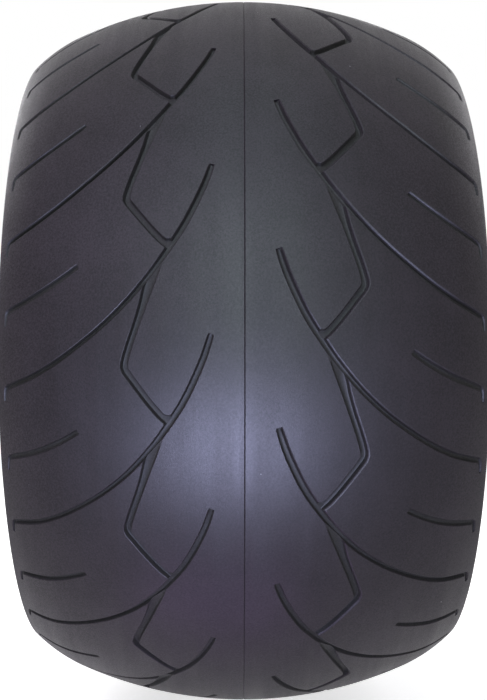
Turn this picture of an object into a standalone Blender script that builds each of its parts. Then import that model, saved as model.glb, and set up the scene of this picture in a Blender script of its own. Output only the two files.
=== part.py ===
import math

import bmesh
import bpy
from mathutils import Matrix, Vector

for item in list(bpy.data.objects):
    bpy.data.objects.remove(item, do_unlink=True)

# Driving dimensions: lengths in metres, angles in degrees

# Rim that the tyre is made for: 18 inch seat, 13.5 inch between flanges
RIM_RADIUS = 0.2286
RIM_WIDTH = 0.3429
FLANGE_HEIGHT = 0.014
HEEL = 0.0025
SEAT_TAPER = 5.0
GUARD_REACH = 0.0070
GUARD_RISE = 0.0050

# Running surface, measured from the photograph: a flat middle arc, then a rounder
# shoulder arc that ends in the tread's edge
SECTION_HEIGHT = 0.1079
TREAD_OVERHANG = 0.0184
CROWN_RADIUS = 0.378
SHOULDER_RADIUS = 0.146
EDGE_ANGLE = 43.0

# Thickness of each layer, from the road inwards, and the room between two layers
CAP_THICKNESS = 0.0080
BASE_THICKNESS = 0.0020
OVERLAY_THICKNESS = 0.0009
BELT_THICKNESS = 0.0012
PLY_THICKNESS = 0.0014
LINER_THICKNESS = 0.0015
CHAFER_THICKNESS = 0.0030
GAP = 0.0003

# How far the end of each layer steps back from the one before, round the shoulder
CAP_STEP = 0.0051
BASE_STEP = 0.0031
PLY_STEP = 0.0059
OVERLAY_STEP = 0.0010
INNER_BELT_STEP = 0.0005
OUTER_BELT_STEP = 0.0023

# Sidewall and bead
BUTTRESS = 0.010
SIDEWALL_BULGE = 0.0015
PLY_LEAN = 43.0
CORE_RADIUS = 0.0038
WRAP_THICKNESS = 0.0006
APEX_LENGTH = 0.0165
LINER_STOP = 0.006
CUSHION_SHARE = 0.75

# Tread pattern: each row is the place across as a share of the half tread,
# the place along in pitches after the main groove's tip, and the groove's width
PITCH_COUNT = 16
RIGHT_TIP = -12.9
LEFT_TIP = -24.7
MAIN_DEPTH = 0.0055
SHORT_DEPTH = 0.0045
BRANCH_DEPTH = 0.0050
GROOVE_TAPER = 0.0005
CUTTER_LIFT = 0.0030
MAIN_GROOVE = (
    (0.121, 0.000, 0.0030),
    (0.195, 0.292, 0.0042),
    (0.278, 0.511, 0.0044),
    (0.376, 0.729, 0.0040),
    (0.484, 0.902, 0.0037),
    (0.608, 1.049, 0.0037),
    (0.760, 1.206, 0.0040),
    (0.946, 1.352, 0.0040),
    (0.953, 1.436, 0.0020),
)
BRANCH_GROOVE = (
    (0.326, 0.627, 0.0042),
    (0.379, 0.885, 0.0050),
    (0.431, 1.115, 0.0054),
    (0.427, 1.210, 0.0054),
    (0.277, 1.500, 0.0056),
)
SHORT_GROOVE = (
    (0.625, 0.582, 0.0036),
    (0.760, 0.709, 0.0044),
    (0.941, 0.838, 0.0042),
    (0.947, 0.920, 0.0020),
)

# Facets round the axle; a flat facet, not a corner, lies at the bottom
RING_STEPS = 24
TREAD_STEPS = 2 * RING_STEPS
PHASE = math.pi / TREAD_STEPS

# Running surface worked out from the rim and the section
OUTER_RADIUS = RIM_RADIUS + SECTION_HEIGHT
EDGE_Y = RIM_WIDTH / 2 + TREAD_OVERHANG
SHOULDER_Y = EDGE_Y - SHOULDER_RADIUS * math.sin(math.radians(EDGE_ANGLE))
CROWN_ANGLE = math.degrees(math.asin(SHOULDER_Y / (CROWN_RADIUS - SHOULDER_RADIUS)))

# Angle at which each layer ends
CAP_REACH = EDGE_ANGLE - math.degrees(CAP_STEP / SHOULDER_RADIUS)
BASE_REACH = CAP_REACH - math.degrees(BASE_STEP / SHOULDER_RADIUS)
PLY_REACH = BASE_REACH - math.degrees(PLY_STEP / SHOULDER_RADIUS)
OVERLAY_REACH = PLY_REACH - math.degrees(OVERLAY_STEP / SHOULDER_RADIUS)
INNER_BELT_REACH = OVERLAY_REACH - math.degrees(INNER_BELT_STEP / SHOULDER_RADIUS)
OUTER_BELT_REACH = INNER_BELT_REACH - math.degrees(OUTER_BELT_STEP / SHOULDER_RADIUS)

# Depth of the top of each layer below the running surface
BASE_TOP = CAP_THICKNESS + GAP
OVERLAY_TOP = BASE_TOP + BASE_THICKNESS + GAP
OUTER_BELT_TOP = OVERLAY_TOP + OVERLAY_THICKNESS + GAP
INNER_BELT_TOP = OUTER_BELT_TOP + BELT_THICKNESS + GAP
PLY_TOP = INNER_BELT_TOP + BELT_THICKNESS + GAP
PLY_MIDDLE = PLY_TOP + PLY_THICKNESS / 2
PLY_SIDE = PLY_THICKNESS / 2 + GAP


def material(name, colour, roughness, metallic=0.0):
    made = bpy.data.materials.new(name)
    made.use_nodes = True
    shader = made.node_tree.nodes["Principled BSDF"]
    shader.inputs["Base Color"].default_value = (*colour, 1.0)
    shader.inputs["Roughness"].default_value = roughness
    shader.inputs["Metallic"].default_value = metallic
    return made


# The cross-section is drawn in (y, r): y along the axle, r out from it

def fan(angle, depth):
    """Point at an angle round the running surface, at a depth below it."""
    crown_centre = Vector((0.0, OUTER_RADIUS - CROWN_RADIUS))
    turn = math.radians(min(angle, CROWN_ANGLE))
    toward = Vector((math.sin(turn), math.cos(turn)))
    if angle <= CROWN_ANGLE:
        return crown_centre + toward * (CROWN_RADIUS - depth)
    shoulder_centre = crown_centre + toward * (CROWN_RADIUS - SHOULDER_RADIUS)
    turn = math.radians(angle)
    toward = Vector((math.sin(turn), math.cos(turn)))
    return shoulder_centre + toward * (SHOULDER_RADIUS - depth)


def shoulder(angle, depth):
    """Point on the straight shoulder chord that all the inner layers share."""
    share = (angle - CROWN_ANGLE) / (CAP_REACH - CROWN_ANGLE)
    return fan(CROWN_ANGLE, depth).lerp(fan(CAP_REACH, depth), share)


def heading(angle):
    """Direction of travel; 0 is outward along the axle, 90 is toward the axle."""
    return Vector((math.cos(math.radians(angle)), -math.sin(math.radians(angle))))


def left_of(angle):
    return Vector((math.sin(math.radians(angle)), math.cos(math.radians(angle))))


def both_sides(half):
    """Full line from a half line that starts on the centre plane."""
    mirrored = [Vector((-p.x, p.y)) for p in reversed(half[1:])]
    return mirrored + half


def mirror(outline):
    return [Vector((-p.x, p.y)) for p in reversed(outline)]


def crossing(start_a, end_a, start_b, end_b):
    """Where two straight lines cross."""
    along_a = end_a - start_a
    along_b = end_b - start_b
    between = start_b - start_a
    scale = along_a.x * along_b.y - along_a.y * along_b.x
    share = (between.x * along_b.y - between.y * along_b.x) / scale
    return start_a + along_a * share


def layer(reach, top, thickness):
    """Outline of one band under the tread."""
    angles = (0.0, CROWN_ANGLE / 2, CROWN_ANGLE)
    outside = [fan(a, top) for a in angles] + [shoulder(reach, top)]
    inside = [fan(a, top + thickness) for a in angles] + [shoulder(reach, top + thickness)]
    return both_sides(outside) + list(reversed(both_sides(inside)))


def ring(name, outline, look, steps):
    """One closed ring: the outline turned about the axle."""
    work = bmesh.new()
    turn = Matrix.Rotation(PHASE, 4, "Y")
    corners = [work.verts.new(turn @ Vector((0.0, p.x, p.y))) for p in outline]
    edges = [work.edges.new((a, b)) for a, b in zip(corners, corners[1:] + corners[:1])]
    bmesh.ops.spin(
        work,
        geom=corners + edges,
        cent=(0.0, 0.0, 0.0),
        axis=(0.0, 1.0, 0.0),
        angle=2 * math.pi,
        steps=steps,
        use_merge=True,
    )
    bmesh.ops.remove_doubles(work, verts=work.verts[:], dist=1e-6)
    bmesh.ops.recalc_face_normals(work, faces=work.faces[:])
    return placed(name, work, look)


def placed(name, work, look):
    mesh = bpy.data.meshes.new(name)
    work.to_mesh(mesh)
    work.free()
    mesh.shade_smooth()
    mesh.set_sharp_from_angle(angle=math.radians(30))
    if look:
        mesh.materials.append(look)
    item = bpy.data.objects.new(name, mesh)
    bpy.context.collection.objects.link(item)
    return item


# Ply line from the crown to the end of the turn-up: (point, heading) stations

wrapped_core = CORE_RADIUS + GAP + WRAP_THICKNESS + GAP
wrap = wrapped_core / math.cos(math.radians(30)) + PLY_THICKNESS / 2
core_centre = Vector(
    (
        RIM_WIDTH / 2 - CHAFER_THICKNESS - PLY_SIDE - wrap,
        RIM_RADIUS + CHAFER_THICKNESS + PLY_SIDE + wrap,
    )
)
lean = 90 + PLY_LEAN
bead_meet = core_centre - left_of(lean) * wrap
leave = shoulder(PLY_REACH, PLY_MIDDLE)
clear = (bead_meet - leave).dot(left_of(lean))
turn_radius = clear / (1 - left_of(PLY_REACH).dot(left_of(lean)))
turn_centre = leave - left_of(PLY_REACH) * turn_radius
turn_end = turn_centre + left_of(lean) * turn_radius

apex_aim = bead_meet - heading(lean) * APEX_LENGTH + left_of(lean) * (PLY_THICKNESS + GAP)
span = apex_aim - core_centre
rise = math.degrees(math.atan2(span.x, span.y) - math.acos(-wrap / span.length))
turn_up = core_centre - left_of(rise) * wrap

mid_turn = (PLY_REACH + lean) / 2
wrap_angles = [lean + (rise - lean) * i / 4 for i in (1, 2, 3)]
ply = [(fan(a, PLY_MIDDLE), a) for a in (0.0, CROWN_ANGLE / 2, CROWN_ANGLE)]
ply.append((leave, PLY_REACH))
ply.append((turn_centre + left_of(mid_turn) * turn_radius, mid_turn))
ply.append((turn_end, lean))
ply.append((bead_meet, lean))
ply += [(core_centre - left_of(a) * wrap, a) for a in wrap_angles]
ply.append((turn_up, rise))
ply.append((apex_aim, rise))
LEAVE, MID_TURN, TURN_END, BEAD_MEET, TURN_UP, TURN_UP_END = 3, 4, 5, 6, 10, 11


def beside(station, distance):
    """Point beside the ply line; positive is on its left, the road side at the crown."""
    point, angle = ply[station]
    return point + left_of(angle) * distance


def beside_all(stations, distance):
    return [beside(i, distance) for i in stations]


# Looks

tread_rubber = material("tread_rubber", (0.045, 0.045, 0.052), 0.62)
base_rubber = material("base_rubber", (0.060, 0.056, 0.054), 0.70)
side_rubber = material("sidewall_rubber", (0.036, 0.036, 0.040), 0.55)
cushion_rubber = material("cushion_rubber", (0.070, 0.064, 0.058), 0.70)
liner_rubber = material("liner_rubber", (0.050, 0.050, 0.054), 0.45)
filler_rubber = material("filler_rubber", (0.055, 0.050, 0.046), 0.65)
overlay_cord = material("overlay_cord", (0.62, 0.57, 0.45), 0.80)
ply_cord = material("ply_cord", (0.55, 0.46, 0.32), 0.80)
wrap_cloth = material("wrap_cloth", (0.48, 0.42, 0.32), 0.85)
chafer_cloth = material("chafer_cloth", (0.075, 0.072, 0.070), 0.75)
belt_steel = material("belt_steel", (0.52, 0.46, 0.36), 0.40, 0.9)
bead_steel = material("bead_steel", (0.66, 0.56, 0.38), 0.35, 1.0)

# Layers under the tread

ring("tread_base", layer(BASE_REACH, BASE_TOP, BASE_THICKNESS), base_rubber, RING_STEPS)
ring("overlay_ply", layer(OVERLAY_REACH, OVERLAY_TOP, OVERLAY_THICKNESS), overlay_cord, RING_STEPS)
ring("belt_outer", layer(OUTER_BELT_REACH, OUTER_BELT_TOP, BELT_THICKNESS), belt_steel, RING_STEPS)
ring("belt_inner", layer(INNER_BELT_REACH, INNER_BELT_TOP, BELT_THICKNESS), belt_steel, RING_STEPS)

# Carcass ply, bead to bead, and the airtight liner inside it

stations = range(len(ply))
road_side = both_sides(beside_all(stations, PLY_THICKNESS / 2))
air_side = both_sides(beside_all(stations, -PLY_THICKNESS / 2))
ring("carcass_ply", road_side + list(reversed(air_side)), ply_cord, RING_STEPS)

liner_stop = heading(lean) * -LINER_STOP
liner_outside = beside_all(range(BEAD_MEET), -PLY_SIDE)
liner_outside.append(beside(BEAD_MEET, -PLY_SIDE) + liner_stop)
liner_inside = beside_all(range(BEAD_MEET), -PLY_SIDE - LINER_THICKNESS)
liner_inside.append(beside(BEAD_MEET, -PLY_SIDE - LINER_THICKNESS) + liner_stop)
liner_outline = both_sides(liner_outside) + list(reversed(both_sides(liner_inside)))
ring("inner_liner", liner_outline, liner_rubber, RING_STEPS)

# Beads: six-sided wire core, cloth wrap under it, filler over it, and chafer

corners = [left_of(60 * i + 30) for i in range(6)]
core_outline = [core_centre + c * CORE_RADIUS for c in corners]
wrap_inside = [core_centre + c * (CORE_RADIUS + GAP) for c in corners[1:5]]
wrap_outside = [core_centre + c * (CORE_RADIUS + GAP + WRAP_THICKNESS) for c in corners[1:5]]
wrap_outline = wrap_inside + list(reversed(wrap_outside))

inner_a = beside(BEAD_MEET, PLY_SIDE)
core_top = core_centre.y + CORE_RADIUS * math.cos(math.radians(30))
floor_a = Vector((core_centre.x, max(core_top + GAP, inner_a.y)))
floor_b = floor_a + Vector((1.0, 0.0))
inner_b = inner_a - heading(lean)
outer_a = beside(TURN_UP, PLY_SIDE)
outer_b = outer_a + heading(rise)
filler_outline = [
    crossing(floor_a, floor_b, inner_a, inner_b),
    crossing(inner_a, inner_b, outer_a, outer_b),
    crossing(floor_a, floor_b, outer_a, outer_b),
]

flange = RIM_WIDTH / 2
flange_top = Vector((flange, RIM_RADIUS + FLANGE_HEIGHT))
toe_y = core_centre.x - wrap - PLY_SIDE - CHAFER_THICKNESS
toe_drop = (flange - HEEL - toe_y) * math.tan(math.radians(SEAT_TAPER))
turn_up_length = (apex_aim - turn_up).length
chafer_stop = heading(rise) * turn_up_length * 0.55
liner_edge = liner_stop + heading(lean) * GAP
chafer_outline = [
    beside(BEAD_MEET, -PLY_SIDE - LINER_THICKNESS) + liner_edge,
    beside(BEAD_MEET, -PLY_SIDE) + liner_edge,
    *beside_all(range(BEAD_MEET, TURN_UP + 1), -PLY_SIDE),
    beside(TURN_UP, -PLY_SIDE) + chafer_stop,
    flange_top,
    Vector((flange, RIM_RADIUS + HEEL)),
    Vector((flange - HEEL, RIM_RADIUS)),
    Vector((toe_y, RIM_RADIUS - toe_drop)),
    beside(BEAD_MEET + 1, -PLY_SIDE - LINER_THICKNESS),
    beside(BEAD_MEET, -PLY_SIDE - LINER_THICKNESS),
]

# Shoulder cushion in the corner between the belts' ends, the ply and the sidewall

base_bottom = BASE_TOP + BASE_THICKNESS + GAP
cushion_outline = [
    shoulder(OVERLAY_REACH, base_bottom) + heading(CAP_REACH) * GAP,
    shoulder(BASE_REACH, base_bottom),
    beside(LEAVE, PLY_SIDE).lerp(beside(MID_TURN, PLY_SIDE), CUSHION_SHARE),
    beside(LEAVE, PLY_SIDE),
]

# Sidewall, from the tread's end to the top of the rim flange

edge = fan(EDGE_ANGLE, 0.0)
guard = Vector((flange + GUARD_REACH, RIM_RADIUS + FLANGE_HEIGHT + GUARD_RISE))


def side_line(distance):
    """Point on the bulged sidewall line at a distance below the tread's edge."""
    down = guard - edge
    share = distance / down.length
    out = Vector((-down.y, down.x)).normalized()
    return edge + down * share + out * (SIDEWALL_BULGE * 4 * share * (1 - share))


side_length = (guard - edge).length
cushion_face = (cushion_outline[2] - cushion_outline[1]).normalized()
cushion_clear = Vector((-cushion_face.y, cushion_face.x)) * GAP
cap_end = shoulder(CAP_REACH, CAP_THICKNESS)
cap_face = (cap_end - side_line(BUTTRESS)).normalized()
cap_clear = Vector((cap_face.y, -cap_face.x)) * -GAP
cushion_top = cushion_outline[1] + cushion_clear
cushion_tip = cushion_outline[2] + cushion_clear
sidewall_outline = [
    side_line(BUTTRESS) + cap_clear,
    side_line(BUTTRESS + (side_length - BUTTRESS) / 2),
    guard,
    flange_top + Vector((0.0, GAP)),
    beside(TURN_UP, -PLY_SIDE) + chafer_stop + heading(rise) * GAP,
    beside(TURN_UP_END, -PLY_SIDE) + heading(rise) * GAP,
    beside(TURN_END, PLY_SIDE),
    beside(MID_TURN, PLY_SIDE),
    crossing(cushion_top, cushion_tip, beside(LEAVE, PLY_SIDE), beside(MID_TURN, PLY_SIDE)),
    cushion_top,
    cap_end + cap_clear,
]

for side, face in (("right", list), ("left", mirror)):
    ring("bead_core_" + side, face(core_outline), bead_steel, RING_STEPS)
    ring("bead_wrap_" + side, face(wrap_outline), wrap_cloth, RING_STEPS)
    ring("bead_filler_" + side, face(filler_outline), filler_rubber, RING_STEPS)
    ring("chafer_" + side, face(chafer_outline), chafer_cloth, RING_STEPS)
    ring("shoulder_cushion_" + side, face(cushion_outline), cushion_rubber, RING_STEPS)
    ring("sidewall_" + side, face(sidewall_outline), side_rubber, RING_STEPS)

# Tread cap: a plain band first

crown_angles = [CROWN_ANGLE * i / 3 for i in range(4)]
edge_angles = [CROWN_ANGLE + (EDGE_ANGLE - CROWN_ANGLE) * i / 3 for i in (1, 2, 3)]
cap_outside = [fan(a, 0.0) for a in crown_angles + edge_angles] + [side_line(BUTTRESS)]
cap_inside = [fan(a, CAP_THICKNESS) for a in (0.0, CROWN_ANGLE / 2, CROWN_ANGLE)] + [cap_end]
cap_outline = both_sides(cap_outside) + list(reversed(both_sides(cap_inside)))
tread_cap = ring("tread_cap", cap_outline, tread_rubber, TREAD_STEPS)

# Grooves cut into the cap

crown_arc = CROWN_RADIUS * math.radians(CROWN_ANGLE)
half_tread = crown_arc + SHOULDER_RADIUS * math.radians(EDGE_ANGLE - CROWN_ANGLE)
pitch = 360.0 / PITCH_COUNT


def on_tread(across, along, tip, side):
    """Point on the running surface and the direction out of it."""
    arc = across * half_tread
    if arc <= crown_arc:
        angle = math.degrees(arc / CROWN_RADIUS)
    else:
        angle = CROWN_ANGLE + math.degrees((arc - crown_arc) / SHOULDER_RADIUS)
    turn = math.radians(tip + along * pitch)
    spot = fan(angle, 0.0)
    out = left_of(angle)
    radial = Vector((math.cos(turn), 0.0, -math.sin(turn)))
    axle = Vector((0.0, side, 0.0))
    return axle * spot.x + radial * spot.y, axle * out.x + radial * out.y


def add_groove(work, rows, depth, tip, side):
    """One closed trough-shaped cutter along a groove's line."""
    spots = [on_tread(across, along, tip, side) for across, along, width in rows]
    loops = []
    for i, (point, out) in enumerate(spots):
        before = point - spots[i - 1][0] if i else spots[1][0] - point
        after = spots[i + 1][0] - point if i + 1 < len(spots) else before
        travel = (before.normalized() + after.normalized()).normalized()
        mitre = max(travel.dot(before.normalized()), 0.6)
        sideways = out.cross(travel).normalized() / mitre
        half = rows[i][2] / 2
        flare = GROOVE_TAPER * CUTTER_LIFT / depth
        loops.append(
            [
                work.verts.new(point + out * CUTTER_LIFT + sideways * (half + flare)),
                work.verts.new(point - out * depth + sideways * (half - GROOVE_TAPER)),
                work.verts.new(point - out * depth - sideways * (half - GROOVE_TAPER)),
                work.verts.new(point + out * CUTTER_LIFT - sideways * (half + flare)),
            ]
        )
    for a, b in zip(loops, loops[1:]):
        for j in range(4):
            k = (j + 1) % 4
            work.faces.new((a[j], a[k], b[k], b[j]))
    work.faces.new(loops[0])
    work.faces.new(list(reversed(loops[-1])))


def cutter(name, grooves):
    work = bmesh.new()
    for rows, depth in grooves:
        for step in range(PITCH_COUNT):
            add_groove(work, rows, depth, RIGHT_TIP + step * pitch, 1.0)
            add_groove(work, rows, depth, LEFT_TIP + step * pitch, -1.0)
    bmesh.ops.recalc_face_normals(work, faces=work.faces[:])
    item = placed(name, work, None)
    item.hide_render = True
    item.display_type = "WIRE"
    return item


groove_sets = {
    "main_and_short_cutter": ((MAIN_GROOVE, MAIN_DEPTH), (SHORT_GROOVE, SHORT_DEPTH)),
    "branch_cutter": ((BRANCH_GROOVE, BRANCH_DEPTH),),
}
for name, grooves in groove_sets.items():
    cut = tread_cap.modifiers.new(name, "BOOLEAN")
    cut.operation = "DIFFERENCE"
    cut.solver = "EXACT"
    cut.object = cutter(name, grooves)
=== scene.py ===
import math

import bpy
from mathutils import Matrix, Vector


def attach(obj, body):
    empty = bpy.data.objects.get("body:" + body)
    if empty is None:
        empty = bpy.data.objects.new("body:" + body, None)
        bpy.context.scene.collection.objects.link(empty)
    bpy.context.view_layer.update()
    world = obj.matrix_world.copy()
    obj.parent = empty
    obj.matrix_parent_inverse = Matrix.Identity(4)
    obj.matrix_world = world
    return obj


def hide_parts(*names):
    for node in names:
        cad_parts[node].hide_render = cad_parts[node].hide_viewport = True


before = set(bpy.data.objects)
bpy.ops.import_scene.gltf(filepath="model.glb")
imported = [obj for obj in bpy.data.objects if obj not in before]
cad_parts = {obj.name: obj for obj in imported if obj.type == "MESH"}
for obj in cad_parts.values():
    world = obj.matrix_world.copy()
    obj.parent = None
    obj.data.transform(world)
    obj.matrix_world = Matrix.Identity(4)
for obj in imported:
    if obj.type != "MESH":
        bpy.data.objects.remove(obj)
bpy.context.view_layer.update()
bpy.ops.object.select_all(action='DESELECT')
scene = bpy.context.scene
scene.view_settings.view_transform = 'Standard'
print("frame loaded:", len(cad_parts), "nodes")


# camera: straight onto the tread at axle height, image 487 x 700
cameraSet = {
    'distance': 1.184,
    'aside': -0.0049,
    'height': 0.0007,
    'yaw': -0.26,        # degrees, the photographer stood a little to the left
    'lens': 60.5,
    'sensor': 36.0,
    'clipStart': 0.01,
}

bpy.ops.object.camera_add(
    location=(cameraSet['distance'], cameraSet['aside'], cameraSet['height']),
    rotation=(math.radians(90), 0.0, math.radians(90 + cameraSet['yaw'])),
)
camera = bpy.context.object
camera.name = "tyreCamera"
camera.data.sensor_width = cameraSet['sensor']
camera.data.lens = cameraSet['lens']
camera.data.clip_start = cameraSet['clipStart']
scene.camera = camera
print("camera set")


# cross-section of the tyre, metres and degrees, drawn in (y, r)
section = {
    'rimRadius': 0.2286,
    'rimWidth': 0.3429,
    'flangeHeight': 0.014,
    'heel': 0.0025,
    'seatTaper': 5.0,
    'guardReach': 0.0070,
    'guardRise': 0.0050,
    'outerRadius': 0.3365,
    'edgeY': 0.18985,
    'crownRadius': 0.378,
    'shoulderRadius': 0.146,
    'edgeAngle': 43.0,
    'buttress': 0.010,
    'sideBulge': 0.0015,
    'plyLean': 43.0,
    'room': 0.0003,       # air between two layers
    'turnSteps': 288,     # facets round the axle; the sidewalls have more
}

room = section['room']
flangeY = section['rimWidth'] / 2
shoulderY = section['edgeY'] - section['shoulderRadius'] * math.sin(math.radians(section['edgeAngle']))
crownAngle = math.degrees(math.asin(shoulderY / (section['crownRadius'] - section['shoulderRadius'])))
crownArc = section['crownRadius'] * math.radians(crownAngle)
degreesPerMm = math.degrees(0.001 / section['shoulderRadius'])     # round the shoulder

# thickness and depth of each layer under the road surface
layers = {
    'cap': 0.0080,
    'base': 0.0020,
    'overlay': 0.0009,
    'belt': 0.0012,
    'ply': 0.0014,
    'liner': 0.0015,
    'chafer': 0.0030,
}
baseTop = layers['cap'] + room
overlayTop = baseTop + layers['base'] + room
outerBeltTop = overlayTop + layers['overlay'] + room
innerBeltTop = outerBeltTop + layers['belt'] + room
plyTop = innerBeltTop + layers['belt'] + room
plyMiddle = plyTop + layers['ply'] / 2
plySide = layers['ply'] / 2 + room

# mm round the shoulder from one layer's end to the next one's, and the angles where they end
stepsBack = {
    'cap': 5.1,
    'base': 3.1,
    'ply': 5.9,
    'overlay': 1.0,
    'innerBelt': 0.5,
    'outerBelt': 2.3,
}
capReach = section['edgeAngle'] - stepsBack['cap'] * degreesPerMm
baseReach = capReach - stepsBack['base'] * degreesPerMm
plyReach = baseReach - stepsBack['ply'] * degreesPerMm
overlayReach = plyReach - stepsBack['overlay'] * degreesPerMm
innerBeltReach = overlayReach - stepsBack['innerBelt'] * degreesPerMm
outerBeltReach = innerBeltReach - stepsBack['outerBelt'] * degreesPerMm


def outOf(angle):
    return Vector((math.sin(math.radians(angle)), math.cos(math.radians(angle))))


def along(angle):
    return Vector((math.cos(math.radians(angle)), -math.sin(math.radians(angle))))


def roadPoint(angle, depth):
    crownCentre = Vector((0.0, section['outerRadius'] - section['crownRadius']))
    if angle <= crownAngle:
        return crownCentre + outOf(angle) * (section['crownRadius'] - depth)
    shoulderCentre = crownCentre + outOf(crownAngle) * (section['crownRadius'] - section['shoulderRadius'])
    return shoulderCentre + outOf(angle) * (section['shoulderRadius'] - depth)


def chordPoint(angle, depth):     # the cap's underside runs straight across the shoulder
    share = (angle - crownAngle) / (capReach - crownAngle)
    return roadPoint(crownAngle, depth).lerp(roadPoint(capReach, depth), share)


def bothSides(half):
    return [Vector((-p.x, p.y)) for p in reversed(half[1:])] + half


def mirrored(outline):
    return [Vector((-p.x, p.y)) for p in reversed(outline)]


def closedBand(outer, inner):
    # two half lines from the centre out make one closed outline
    return bothSides(outer) + list(reversed(bothSides(inner)))


def crossing(startA, endA, startB, endB):
    alongA = endA - startA
    alongB = endB - startB
    between = startB - startA
    scale = alongA.x * alongB.y - alongA.y * alongB.x
    return startA + alongA * ((between.x * alongB.y - between.y * alongB.x) / scale)


def roundedCorner(before, corner, after, radius, cuts):
    nearHalf = 0.49     # the rounding stays within half of each side
    toward = (before - corner).normalized()
    away = (after - corner).normalized()
    half = math.acos(max(-1.0, min(1.0, toward.dot(away)))) / 2
    shorter = min((before - corner).length * nearHalf, (after - corner).length * nearHalf)
    reach = min(radius / math.tan(half), shorter)
    centre = corner + (toward + away).normalized() * (reach / math.cos(half))
    first = corner + toward * reach - centre
    last = corner + away * reach - centre
    turn = first.angle_signed(last)
    points = []
    for i in range(cuts + 1):
        points.append(centre + Matrix.Rotation(-turn * i / cuts, 2) @ first)
    return points


def turnedRing(name, outline, steps=None):
    # a circle is bent to the outline, then turned once round the axle
    mergeGap = 0.000001
    bpy.ops.object.select_all(action='DESELECT')
    bpy.ops.mesh.primitive_circle_add(vertices=len(outline), radius=0.1, fill_type='NOTHING')
    piece = bpy.context.object
    piece.name = name
    piece.data.name = name
    for vertex, point in zip(piece.data.vertices, outline):
        vertex.co = (0.0, point.x, point.y)
    lathe = piece.modifiers.new("lathe", 'SCREW')
    lathe.axis = 'Y'
    lathe.angle = 2 * math.pi
    lathe.steps = steps or section['turnSteps']
    lathe.render_steps = lathe.steps
    lathe.use_merge_vertices = True
    lathe.merge_threshold = mergeGap
    bpy.ops.object.modifier_apply(modifier=lathe.name)
    bpy.ops.object.mode_set(mode='EDIT')
    bpy.ops.mesh.select_all(action='SELECT')
    bpy.ops.mesh.remove_doubles(threshold=mergeGap)
    bpy.ops.mesh.normals_make_consistent(inside=False)
    bpy.ops.object.mode_set(mode='OBJECT')
    return piece


def smoothShade(piece, angle):
    bpy.ops.object.select_all(action='DESELECT')
    piece.select_set(True)
    bpy.context.view_layer.objects.active = piece
    bpy.ops.object.shade_smooth_by_angle(angle=math.radians(angle))


def settle(piece, node, look, angle=30):
    smoothShade(piece, angle)
    if look:
        piece.data.materials.append(look)
    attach(piece, "root")
    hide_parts(node)


# finishes: every one is worked out from Object coordinates in metres
def startMaterial(name):
    look = bpy.data.materials.new(name)
    look.use_nodes = True
    nodes = look.node_tree.nodes
    shader = nodes["Principled BSDF"]
    place = nodes.new("ShaderNodeTexCoord")
    return look, nodes, look.node_tree.links, shader, place


def addMath(nodes, links, action, first, second=None):
    step = nodes.new("ShaderNodeMath")
    step.operation = action
    for socket, value in zip(step.inputs, (first, second)):
        if value is None:
            continue
        if isinstance(value, (int, float)):
            socket.default_value = value
        else:
            links.new(value, socket)
    return step.outputs[0]


def addBlend(nodes, links, first, second, firstShare):
    return addMath(nodes, links, 'ADD', addMath(nodes, links, 'MULTIPLY', first, firstShare),
                   addMath(nodes, links, 'MULTIPLY', second, 1.0 - firstShare))


def addNoise(nodes, links, vector, scale, detail, rough):
    noise = nodes.new("ShaderNodeTexNoise")
    noise.inputs["Scale"].default_value = scale
    noise.inputs["Detail"].default_value = detail
    noise.inputs["Roughness"].default_value = rough
    links.new(vector, noise.inputs["Vector"])
    return noise.outputs["Fac"]


def addRange(nodes, links, value, fromLow, fromHigh, toLow, toHigh):
    spread = nodes.new("ShaderNodeMapRange")
    spread.inputs["From Min"].default_value = fromLow
    spread.inputs["From Max"].default_value = fromHigh
    spread.inputs["To Min"].default_value = toLow
    spread.inputs["To Max"].default_value = toHigh
    links.new(value, spread.inputs["Value"])
    return spread.outputs["Result"]


def addRamp(nodes, links, value, stops):
    ramp = nodes.new("ShaderNodeValToRGB")
    for element, (position, colour) in zip(ramp.color_ramp.elements, stops):
        element.position = position
        element.color = (*colour, 1.0)
    links.new(value, ramp.inputs["Fac"])
    return ramp.outputs["Color"]


def addMix(nodes, links, share, colour, over):
    mix = nodes.new("ShaderNodeMix")
    mix.data_type = 'RGBA'
    links.new(share, mix.inputs[0])
    links.new(colour, mix.inputs[6])
    mix.inputs[7].default_value = (*over, 1.0)
    return mix.outputs[2]


def addBump(nodes, links, height, strength, distance, below=None):
    bump = nodes.new("ShaderNodeBump")
    bump.inputs["Strength"].default_value = strength
    bump.inputs["Distance"].default_value = distance
    links.new(height, bump.inputs["Height"])
    if below is not None:
        links.new(below, bump.inputs["Normal"])
    return bump.outputs["Normal"]


def addStretch(nodes, links, vector, scale):
    stretch = nodes.new("ShaderNodeMapping")
    stretch.inputs["Scale"].default_value = scale
    links.new(vector, stretch.inputs["Vector"])
    return stretch.outputs["Vector"]


def axlePlace(nodes, links, place):
    # y along the axle, r out from it, and the angle round it
    split = nodes.new("ShaderNodeSeparateXYZ")
    links.new(place.outputs["Object"], split.inputs[0])
    turn = addMath(nodes, links, 'ARCTAN2', split.outputs["Z"], split.outputs["X"])
    squareX = addMath(nodes, links, 'MULTIPLY', split.outputs["X"], split.outputs["X"])
    squareZ = addMath(nodes, links, 'MULTIPLY', split.outputs["Z"], split.outputs["Z"])
    outward = addMath(nodes, links, 'SQRT', addMath(nodes, links, 'ADD', squareX, squareZ))
    return split.outputs["Y"], outward, turn


def addTones(nodes, links, value, span, s):
    return addRamp(nodes, links, value, ((span[0], s['dark']), (span[1], s['light'])))


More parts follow.
